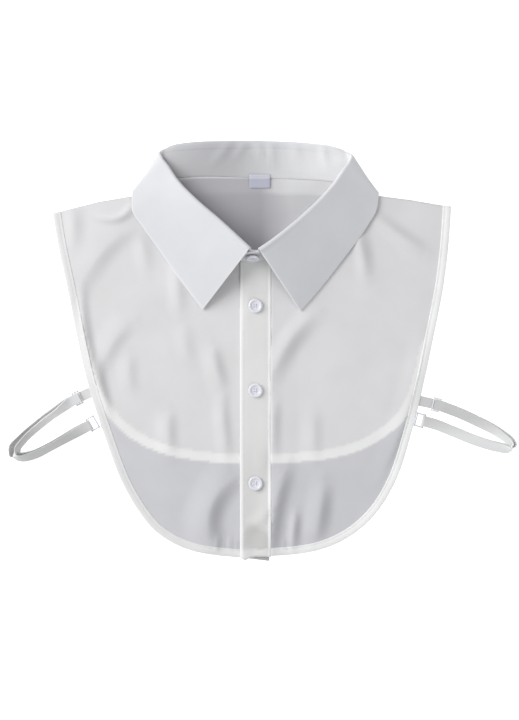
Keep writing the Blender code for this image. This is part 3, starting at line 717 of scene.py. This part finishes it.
def placket_cloth():
    """The placket's folded band from its foot up, with its two rows of stitches."""
    rows, tone = [], []
    profile = [(2.6, -1.1), (0.7, -1.08), (0.1, -0.5), (0.25, 0.2), (0.9, 0.46), (2.0, 0.48)]
    profile += [(3.4, 0.28), (4.4, 0.38), (9.0, 0.4), (14.0, 0.4), (19.0, 0.38), (24.0, 0.4)]
    profile += [(24.9, 0.28), (26.0, 0.5), (27.2, 0.5), (27.9, 0.3), (27.95, 0.0), (27.4, -0.28)]
    profile.append((25.6, -0.3))
    for y in np.arange(PLACKET_FOOT, PLACKET_TOP + 2.6, 1.8):
        share = (y - PLACKET_FOOT) / (PLACKET_TOP - PLACKET_FOOT)
        slant = (right_top - PLACKET_TOP) * share / (PLACKET_RIGHT - PLACKET_LEFT)
        line = np.array([(PLACKET_LEFT + across, y + slant * across) for across, _ in profile])
        turned = max(0, 1 - (y - PLACKET_FOOT) / 9) * np.clip(1 - abs(line[:, 0] + 15.5) / 5.5, 0, 1)
        line[:, 1] -= CORNER_DROP * turned
        height = np.array([rise for _, rise in profile]) + 0.1 * np.sin(y * 0.19) * math.sin(y * 0.07)
        from_edge = np.minimum(line[:, 0] - PLACKET_LEFT, PLACKET_RIGHT - line[:, 0])
        height += crease_rise(line, PLACKET_CREASES) * (height > 0) * np.clip(from_edge / 4, 0, 1)
        height += crease_rise(line, RIGHT_CREASES[:1]) + CORNER_LIFT * turned
        band_top = PLACKET_FOOT + FOOT_BAND + 1.2 * np.sin(line[:, 0] * 0.55)
        band = np.clip((band_top - y) / 2.4, 0, 1)
        height += band * (0.5 + 0.35 * np.sin(line[:, 0] * 0.9 + y * 0.5)) * (height > 0)
        rows.append(np.column_stack([line, MID_OF_WALL + rest_height(line, under_right) + height]))
        # Painted highlight along both sewn edges. Between them: painted light at the top, painted shade
        # lower down and above the foot, and a little brighter over the foot's turned band.
        edges = np.array([1.0 if across < 3 or across > 25.4 else 0.0 for across, _ in profile])
        low = rising(y + 0.5 * (line[:, 0] + 6), -154, -163) * rising(line[:, 0], -19, -13)
        tone.append(1 - 0.8 * low * (1 - edges) * (1 - band) + np.maximum(edges, 0.35 * band))
        tone[-1] += (0.9 * rising(y, 52, 72) - 0.45 * rising(y, -70, -120)) * (1 - edges)
    piece = add_piece("placket_cloth", sheet_of(rows), PLACKET_PAINT)
    mark(piece, "tone", np.concatenate(tone))
    thicken(piece, PLACKET_THICK)
    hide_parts("placket")
    raised = [0, 0, (PLACKET_THICK + STITCH_RADIUS) / 2]
    seams = [np.array([row[column] + raised for row in rows]) for column in (6, 12)]
    thread = stitches("placket_stitches", seams, THREAD)


placket_cloth()

# The collar's stand
# A band of two plies and an interlining that stands up round the neck. It is sewn to the bibs along
# its foot and to the fall near the fold, and its ends run past the fall as tabs.
# The collar's colours: painted shade, its own and painted light.
STAND_SHADED_COLOUR = (0.56, 0.56, 0.575)
STAND_COLOUR = (0.78, 0.78, 0.785)
STAND_LIT_COLOUR = (0.95, 0.95, 0.96)
STAND_THICK = 0.9
FALL_START = 3.8
TIGHT_ROLL, EASY_ROLL = 1.2, 1.7
TAB_LEFT_END, TAB_RIGHT_END = -19.5, 3.0
TAB_START_HEIGHT, TAB_END_HEIGHT, TAB_STEPS = 0.9, 0.55, 12
COLLAR_PAINT = cloth_paint(
    "interlined cloth", STAND_SHADED_COLOUR, STAND_COLOUR, "tone", STAND_LIT_COLOUR, bump=0.035
)
INSIDE_CREASES = [
    Crease(-28.0, 187.0, -36.0, 175.0, -48.0, 162.0, 8.0, 0.9, 1.7),
    Crease(-14.0, 187.0, -20.0, 180.0, -24.0, 170.0, 6.0, 0.9, 1.36),
    Crease(-4.0, 187.0, -1.0, 180.0, 2.0, 170.0, 7.0, 0.7, 1.7),
    Crease(9.0, 187.0, 8.0, 172.0, 12.0, 160.0, 8.0, 0.8, 2.21),
    Crease(30.0, 187.0, 30.0, 176.0, 36.0, 164.0, 9.0, 0.8, 1.36),
    Crease(54.0, 185.0, 55.0, 174.0, 60.0, 162.0, 7.0, 0.9, 1.53),
]


def inside_painted_shading(points):
    """Painted shade and light on the collar's inside: darker at the back's left, lighter at its right."""
    across, back = points[:, 0], rising(points[:, 1], 135, 155)
    tone = np.clip((across + 25) / 42, 0, 2) + 0.1 * rising(across, -52, -82)
    return 1 + back * (tone - 1)


def creased(points, share):
    """Points of the collar's inside, its back part moved up by the soft creases."""
    rise = crease_rise(points[:, :2], INSIDE_CREASES) * share
    return points + np.column_stack([np.zeros((len(points), 2)), rise])


def tab(row, end_x):
    """The stand's end past the fall, its top rounded down to the end."""
    made = []
    for t in np.arange(1, TAB_STEPS + 1) / TAB_STEPS:
        height = TAB_END_HEIGHT + (TAB_START_HEIGHT - TAB_END_HEIGHT) * math.sqrt(1 - t**2)
        made.append(row[0] + (row - row[0]) * height + [(end_x - row[0][0]) * t, 0, 0])
    return made


def below_fold(roll):
    """How far below the fold the fall's inner side starts; less where the roll is tight."""
    return FALL_START * min(1, (roll - TIGHT_ROLL) / (EASY_ROLL - TIGHT_ROLL))


stand_rows = []
shares = np.linspace(0, 1, 14)
for section, high, outward in zip(collar, collar_up, collar_out):
    seam, fold, roll = section[0:3], section[3:6], section[9]
    start = below_fold(roll)
    top = fold - outward * roll - high * (start - 0.5)
    foot = seam + high * 0.05
    row = np.array([foot + (top - foot) * t for t in shares])
    stand_rows.append(creased(row, shares))
stand_rows = tab(stand_rows[0], TAB_RIGHT_END)[::-1] + stand_rows + tab(stand_rows[-1], TAB_LEFT_END)
stand = add_piece("collar_stand_cloth", sheet_of(stand_rows), COLLAR_PAINT)
stand_tone = inside_painted_shading(np.concatenate(stand_rows)).reshape(len(stand_rows), -1)
# Painted highlight along the top of both tabs.
for tab_rows in (slice(0, TAB_STEPS + 1), slice(-TAB_STEPS - 1, None)):
    stand_tone[tab_rows, -3:] = 2
mark(stand, "tone", stand_tone.ravel())
thicken(stand, STAND_THICK, rounded=True)
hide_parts("collar_stand")

# The collar's fall
# Two plies and an interlining, turned and pressed. It is sewn to the stand's top, rolls over and
# comes down to two points at the front. Its back part lies flat under the stand.
FALL_COLOUR = (0.735, 0.74, 0.76)
FALL_THICK = 1.2
UNDER_SAG = 3.0
FALL_PAINT = cloth_paint(
    "fall cloth", STAND_SHADED_COLOUR, FALL_COLOUR, "tone", STAND_LIT_COLOUR, bump=0.03
)
INNER_COLUMNS = 7

fall_rows, fall_tone = [], []
for section, high, outward in zip(collar, collar_up, collar_out):
    fold, edge, roll = section[3:6], section[6:9], section[9]
    start = below_fold(roll)
    sag = 1 + UNDER_SAG * max(0, -outward[2])
    row = [fold - outward * roll - high * start, fold - outward * roll - high * start / 2]
    for angle in np.linspace(0, math.pi, 11):
        row.append(fold - outward * roll * math.cos(angle) + high * roll * math.sin(angle))
    top = row[-1]
    share = np.linspace(0, 1, 24)[1:, None]
    reach = top + (edge - top) * share
    reach[:, 2:] = edge[2] + (top[2] - edge[2]) * (1 - share) ** sag
    row = np.array(row + list(reach))
    inner = np.clip((INNER_COLUMNS + 2 - np.arange(len(row))) / 3, 0, 1)
    fall_rows.append(creased(row, inner))
    # Painted shade and light on the inner strip, as on the stand.
    fall_tone.append(1 + (inside_painted_shading(row) - 1) * inner)
    # Painted highlight along each leaf's outer edge.
    fall_tone[-1][-1] = 1.4
# Painted highlight: the pressed edges of the leaves' fronts are drawn a little brighter.
for rim, light in ((0, 1.5), (-1, 2.0), (-2, 1.6)):
    fall_tone[rim][INNER_COLUMNS + 4 :] = light
fall = add_piece("collar_fall_cloth", sheet_of(fall_rows), FALL_PAINT)
mark(fall, "tone", np.concatenate(fall_tone))
thicken(fall, FALL_THICK, rounded=True)
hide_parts("collar_fall")

# The buttons
# Turned plastic shirt buttons with a rounded rim, a sunken middle and four holes. White thread sews
# them to the button stand, and each hides the buttonhole that it comes up through.
BUTTON_RADIUS, BUTTON_RIM, BUTTON_DISH = 6.4, 2.6, 1.5
BUTTON_X = -6.5
BUTTON_ROWS = {"button_1": 41.0, "button_2": -35.0, "button_3": -118.5}
COLLAR_BUTTON_X, COLLAR_BUTTON_HEIGHT = -8.8, 12.0
HOLE_RING, HOLE_RADIUS, HOLE_DEPTH = 1.45, 0.55, 1.2
PLASTIC_COLOUR = (0.86, 0.865, 0.93)
SLIDER_COLOUR = (0.92, 0.92, 0.94)
RING_COLOUR = (0.74, 0.74, 0.80)


def plastic_paint(name, colour, through):
    """Glossy plastic with a lavender cast, letting a share of the light through."""
    look = {"Roughness": 0.12, "IOR": 1.49, "Coat Weight": 0.4, "Subsurface Weight": through}
    look.update({"Subsurface Radius": (1.0, 1.0, 1.0), "Subsurface Scale": 1.0 * MM})
    paint, tree, shader = new_paint(name, look)
    plug(tree, shader, {"Base Color": clouded(tree, 3.0, colour, 0.93)})
    return paint


PLASTIC = plastic_paint("clear plastic", PLASTIC_COLOUR, 0.25)
SLIDER_PLASTIC = plastic_paint("white plastic", SLIDER_COLOUR, 0.0)
RING_PLASTIC = plastic_paint("lavender plastic", RING_COLOUR, 0.0)


def sewn_button(node, middle, facing):
    """A button's turned body with its four holes, and the thread crossing between them."""
    profile = [(0.0, 0.0), (4.4, 0.0), (5.6, 0.25), (6.25, 0.9), (BUTTON_RADIUS, 1.5), (6.2, 2.15)]
    profile += [(5.7, 2.5), (5.1, BUTTON_RIM), (4.5, 2.45), (4.05, 2.0), (3.8, 1.62)]
    holed = (3.4, 2.4, HOLE_RING + HOLE_RADIUS, HOLE_RING - HOLE_RADIUS, 0.0)
    profile += [(r, BUTTON_DISH) for r in holed]
    body = bmesh.new()
    line = [body.verts.new((r, 0, z)) for r, z in profile]
    edges = [body.edges.new(pair) for pair in zip(line, line[1:])]
    geom = line + edges
    bmesh.ops.spin(body, geom=geom, axis=(0, 0, 1), angle=math.tau, steps=40, use_merge=True)
    bmesh.ops.remove_doubles(body, verts=body.verts, dist=0.001)
    bmesh.ops.recalc_face_normals(body, faces=body.faces)
    holes = []
    for face in body.faces:
        centre = face.calc_center_median()
        out = math.hypot(centre.x, centre.y)
        turn = (math.degrees(math.atan2(centre.y, centre.x)) - 45) % 90
        if centre.z > 1 and abs(out - HOLE_RING) < 0.2 and min(turn, 90 - turn) < 16:
            holes.append(face)
    sunk = bmesh.ops.extrude_face_region(body, geom=holes)["geom"]
    floor = [v for v in sunk if isinstance(v, bmesh.types.BMVert)]
    bmesh.ops.translate(body, vec=(0, 0, -HOLE_DEPTH), verts=floor)
    bmesh.ops.delete(body, geom=holes, context="FACES")
    across = np.cross(facing, (1.0, 0.0, 0.0))
    across /= np.linalg.norm(across)
    right = np.cross(across, facing)
    seat = Matrix(np.column_stack([right, across, facing]).tolist()).to_4x4()
    seat.translation = Vector(middle)
    bmesh.ops.transform(body, matrix=seat, verts=body.verts)
    piece = add_piece(f"{node}_turned", body, PLASTIC)
    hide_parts(node)
    thread = bmesh.new()
    for turn in (45, 135):
        spin = Matrix.Rotation(math.radians(turn), 4, "Z")
        for aside in (-0.16, 0.16):
            place = Matrix.Translation((0, aside, BUTTON_DISH + 0.1))
            size = Matrix.Diagonal((HOLE_RING + 0.35, 0.17, 0.3, 1))
            bmesh.ops.create_uvsphere(
                thread, u_segments=10, v_segments=6, radius=1, matrix=seat @ spin @ place @ size
            )
    add_piece(f"{node}_thread", thread, THREAD)


for node, y in BUTTON_ROWS.items():
    rest = rest_height(np.array([(BUTTON_X, y)]), under_right)[0]
    sewn_button(node, (BUTTON_X, y, rest + LAYER), np.array([0.0, 0.0, 1.0]))

facing = np.cross((1.0, 0.0, 0.0), collar_up[-1])
facing /= np.linalg.norm(facing)
tab_place = collar[-1, 0:3] + collar_up[-1] * COLLAR_BUTTON_HEIGHT + facing * 0.8
sewn_button("collar_button", (COLLAR_BUTTON_X, tab_place[1], tab_place[2]), facing)

# The label
# A small tab of pale satin sewn over the back neck seam by its upper edge, and bare.
LABEL_COLOUR = (0.50, 0.51, 0.60)
LABEL_TOP_COLOUR = (0.66, 0.66, 0.75)
LABEL_LEFT, LABEL_RIGHT = -12.0, 6.5
LABEL_HIGH, LABEL_SEAM, LABEL_BELOW, LABEL_LOW = 159.0, 156.2, 153.0, 147.0
LABEL_PAINT = cloth_paint(
    "satin label", LABEL_COLOUR, LABEL_TOP_COLOUR, "turned in", bump=0.02, rough=0.35, sheen=0.0
)

rows = []
for share in np.linspace(0, 1, 12):
    y = LABEL_HIGH + (LABEL_LOW - LABEL_HIGH) * share
    z = np.interp(y, (LABEL_LOW, LABEL_BELOW, LABEL_SEAM, LABEL_HIGH), (3.2, 3.2, 3.7, 4.7))
    across = np.linspace(LABEL_LEFT, LABEL_RIGHT, 14)
    rows.append(np.column_stack([across, np.full(14, y), z - 0.2 + 0.08 * np.sin(across * 0.5)]))
label = add_piece("label_satin", sheet_of(rows), LABEL_PAINT)
mark(label, "turned in", np.clip((np.concatenate(rows)[:, 1] - 154.5) / 1.0, 0, 1))
thicken(label, 0.35, rounded=True)
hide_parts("label")
top_stitch = np.column_stack([across, np.full(14, LABEL_HIGH - 1), rows[1][:, 2] + 0.25])
stitches("label_stitches", [top_stitch], THREAD)

# The side straps
# Woven white elastic with a soft sheen, sewn to the back bib. It passes a plastic slider, runs out in
# a loop to a pale plastic ring lower down at the bib's edge and doubles back to the slider.
ELASTIC = 9.2
ELASTIC_THICK = 0.85
ELASTIC_SHADED_COLOUR = (0.54, 0.54, 0.54)
ELASTIC_COLOUR = (0.88, 0.88, 0.88)
ELASTIC_RIBS = 6.5
WALL, GAP = 1.0, 0.3
STRAP_STEPS = 10
SLIDER_STATION, RETURN_STATION = 20, 16
Band = namedtuple("Band", "x y tilt apart")
STRAPS = {
    "left": [
        Band(-153.9, -36.2, 180, 3.2),
        Band(-161.5, -39.7, 176, 3.2),
        Band(-166.5, -42.0, 176, 3.2),
        Band(-171.5, -44.4, 174, 3.2),
        Band(-179.0, -48.2, 146, 3.3),
        Band(-188.0, -53.8, 128, 3.7),
        Band(-205.0, -66.6, 124, 3.9),
        Band(-217.4, -77.5, 122, 4.6),
        Band(-225.5, -87.0, 118, 6.6),
        Band(-225.9, -93.2, 102, 6.6),
        Band(-218.6, -96.2, 60, 3.8),
        Band(-205.5, -93.2, 42, 1.7),
        Band(-191.5, -86.5, 46, 1.6),
        Band(-178.0, -79.0, 40, 1.7),
        Band(-164.0, -71.0, 20, 2.6),
        Band(-156.0, -66.5, 2, 3.3),
    ],
    "right": [
        Band(140.0, -44.2, 180, 3.2),
        Band(151.0, -46.6, 176, 3.2),
        Band(156.0, -47.8, 176, 3.2),
        Band(161.0, -49.2, 175, 3.2),
        Band(168.5, -51.8, 168, 2.2),
        Band(178.0, -55.5, 163, 1.8),
        Band(192.0, -62.0, 158, 1.7),
        Band(205.5, -68.5, 148, 1.8),
        Band(215.6, -74.3, 134, 2.4),
        Band(223.2, -80.2, 126, 3.0),
        Band(225.8, -84.3, 108, 3.2),
        Band(222.0, -88.2, 60, 2.6),
        Band(212.5, -86.5, 30, 1.8),
        Band(192.0, -80.5, 18, 1.6),
        Band(171.0, -72.0, 14, 1.6),
        Band(153.0, -65.0, 8, 2.4),
        Band(144.9, -62.8, 2, 3.3),
    ],
}
STRAP_HARDWARE = 12.6
SLIDER_LENGTH, SLIDER_THICK = 7.0, 1.4
RING_LENGTH, RING_THICK = 8.6, 1.6


def elastic_paint():
    """Elastic with fine ribs along it and a weft across them."""
    paint, tree, shader = new_paint("woven elastic", {"Roughness": 0.42, "Specular IOR Level": 0.45})
    across = {0: marked(tree, "across"), 1: math.tau * ELASTIC_RIBS}
    turn = add_node(tree, "Math", across, operation="MULTIPLY").outputs[0]
    ribs = add_node(tree, "Math", {0: turn}, operation="COSINE").outputs[0]
    woven = add_node(tree, "Math", {0: ribs, 1: noise(tree, 0.7)}, operation="ADD").outputs[0]
    raise_by(tree, shader, woven, 0.06, 0.5)
    spread = {"Value": woven, "From Min": -1, "From Max": 2}
    shade = add_node(tree, "MapRange", spread).outputs["Result"]
    both = {
        0: mixed(tree, shade, (0.9, 0.9, 0.9), (1.0, 1.0, 1.0)),
        1: mixed(tree, marked(tree, "tone"), ELASTIC_SHADED_COLOUR, ELASTIC_COLOUR),
    }
    tint = add_node(tree, "VectorMath", both, operation="MULTIPLY").outputs["Vector"]
    plug(tree, shader, {"Base Color": tint})
    return paint


ELASTIC_PAINT = elastic_paint()


def strand_stations(table, side):
    """Where each strand runs, and the directions of its width and of its run."""
    rows = curve_through(table, STRAP_STEPS)
    along = np.gradient(rows[:, :2], axis=0)
    along /= np.linalg.norm(along, axis=1)[:, None]
    stations = []
    for (x, y, tilt, apart), (run_x, run_y) in zip(rows, along):
        tilt = math.radians(tilt)
        inside = np.array([-run_y * side, run_x * side, 0])
        width = math.cos(tilt) * inside + math.sin(tilt) * np.array([0, 0, 1])
        aside = math.sin(tilt) * inside - math.cos(tilt) * np.array([0, 0, 1])
        low = (abs(math.cos(tilt)) * WALL + math.sin(tilt) * ELASTIC) / 2
        first = np.array([x, y, low + GAP + max(0, apart * math.cos(tilt))])
        stations.append((first, first + aside * apart, width, np.array([run_x, run_y, 0])))
    return stations


def plastic_frame(node, paint, middle, run, width, length, bars, thick):
    """A slider or ring: rounded bars across two rounded rails."""
    rail = (STRAP_HARDWARE - ELASTIC) / 2 - 0.4
    normal = np.cross(run, width)
    turn = Matrix(np.column_stack([run, width, normal]).tolist()).to_4x4()
    seat = Matrix.Translation(Vector(middle)) @ turn
    body = bmesh.new()
    ends = (length - rail) / 2
    cuts = [(u, 0, rail, STRAP_HARDWARE) for u in np.linspace(-ends, ends, bars)]
    cuts += [(0, v, length, rail) for v in (-(STRAP_HARDWARE - rail) / 2, (STRAP_HARDWARE - rail) / 2)]
    for u, v, long, wide in cuts:
        place = Matrix.Translation((u, v, 0)) @ Matrix.Diagonal((long, wide, thick, 1))
        bmesh.ops.create_cube(body, size=1, matrix=seat @ place)
    rounding = {"offset": 0.35, "segments": 3, "profile": 0.5, "affect": "EDGES", "material": -1}
    bmesh.ops.bevel(body, geom=body.edges[:], **rounding)
    piece = add_piece(f"{node}_moulded", body, paint)
    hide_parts(node)


for name, side in (("left", 1), ("right", -1)):
    stations = strand_stations(STRAPS[name], side)
    line = [(first, width) for first, _, width, _ in stations]
    first, second, width, run = stations[-1]
    middle, reach = (first + second) / 2, np.linalg.norm(second - first) / 2
    for angle in np.linspace(0, math.pi, 13)[1:-1]:
        line.append((middle + (first - middle) * math.cos(angle) + run * reach * math.sin(angle), width))
    line += [(second, width) for _, second, width, _ in stations[RETURN_STATION:][::-1]]
    shares = np.linspace(-0.5, 0.5, 9)
    rows = [np.array([p + w * ELASTIC * s for s in shares]) for p, w in line]
    strap = add_piece(f"strap_{name}_elastic", sheet_of(rows), ELASTIC_PAINT)
    mark(strap, "across", np.tile(shares + 0.5, len(rows)))
    # The left loop is darker low down and the right one is lighter there, as the light falls.
    low = rising(np.concatenate(rows)[:, 1], -60, -76)
    mark(strap, "tone", 0.84 - 0.6 * low if side > 0 else 0.42 + 0.6 * low)
    thicken(strap, ELASTIC_THICK, rounded=True)
    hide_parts(f"strap_{name}")
    first, second, width, run = stations[SLIDER_STATION]
    middle = (first + second) / 2
    node = f"strap_slider_{name}"
    plastic_frame(node, SLIDER_PLASTIC, middle, run, width, SLIDER_LENGTH, 3, SLIDER_THICK)
    first, second, width, run = stations[-1]
    middle = (first + second) / 2 + run * (RING_LENGTH / 2 - 0.65)
    node = f"strap_ring_{name}"
    plastic_frame(node, RING_PLASTIC, middle, run, width, RING_LENGTH, 2, RING_THICK)

# The floor, light and camera
# A plain white surface, a broad lamp low on the upper left, a weak one from the lower right and an
# even sky. The camera looks straight down on the laid garment.
FLOOR_SIZE = 4.0
FLOOR_COLOUR = (0.93, 0.93, 0.93, 1)
FLOOR_GLOW = 0.6
KEY_WATTS, FILL_WATTS = 31.0, 11.0
SKY_COLOUR, SKY = (0.97, 0.98, 1.0, 1), 0.43
CAMERA_HEIGHT = 1.8
LENS = 100
LOOKED_AT = Place(-2.9, -7.7)

ground = bmesh.new()
bmesh.ops.create_grid(ground, x_segments=1, y_segments=1, size=FLOOR_SIZE / 2)
floor_mesh = bpy.data.meshes.new("floor")
ground.to_mesh(floor_mesh)
ground.free()
floor = bpy.data.objects.new("floor", floor_mesh)
bpy.context.collection.objects.link(floor)
glow = {"Emission Color": (1, 1, 1, 1), "Emission Strength": FLOOR_GLOW}
dull = {"Base Color": FLOOR_COLOUR, "Roughness": 0.9, "Specular IOR Level": 0.0}
floor_mesh.materials.append(new_paint("white floor", {**glow, **dull})[0])

world = bpy.data.worlds.new("studio")
world.use_nodes = True
sky = world.node_tree.nodes["Background"]
plug(world.node_tree, sky, {"Color": SKY_COLOUR, "Strength": SKY})
bpy.context.scene.world = world


def lamp(name, place, size, watts):
    """A square lamp that looks at the garment's middle."""
    light = bpy.data.lights.new(name, "AREA")
    light.energy = watts
    light.size = size
    made = bpy.data.objects.new(name, light)
    made.location = place
    made.rotation_euler = (-Vector(place)).to_track_quat("-Z", "Y").to_euler()
    bpy.context.collection.objects.link(made)


lamp("key", (-1.5, 0.65, 1.15), 1.5, KEY_WATTS)
lamp("fill", (1.2, -1.2, 1.6), 1.6, FILL_WATTS)

camera = bpy.data.cameras.new("camera")
camera.lens = LENS
camera.sensor_width = 36
view = bpy.data.objects.new("camera", camera)
view.location = (LOOKED_AT.x * MM, LOOKED_AT.y * MM, CAMERA_HEIGHT)
bpy.context.collection.objects.link(view)
bpy.context.scene.camera = view
bpy.context.scene.view_settings.view_transform = "Standard"
bpy.context.scene.view_settings.look = "None"
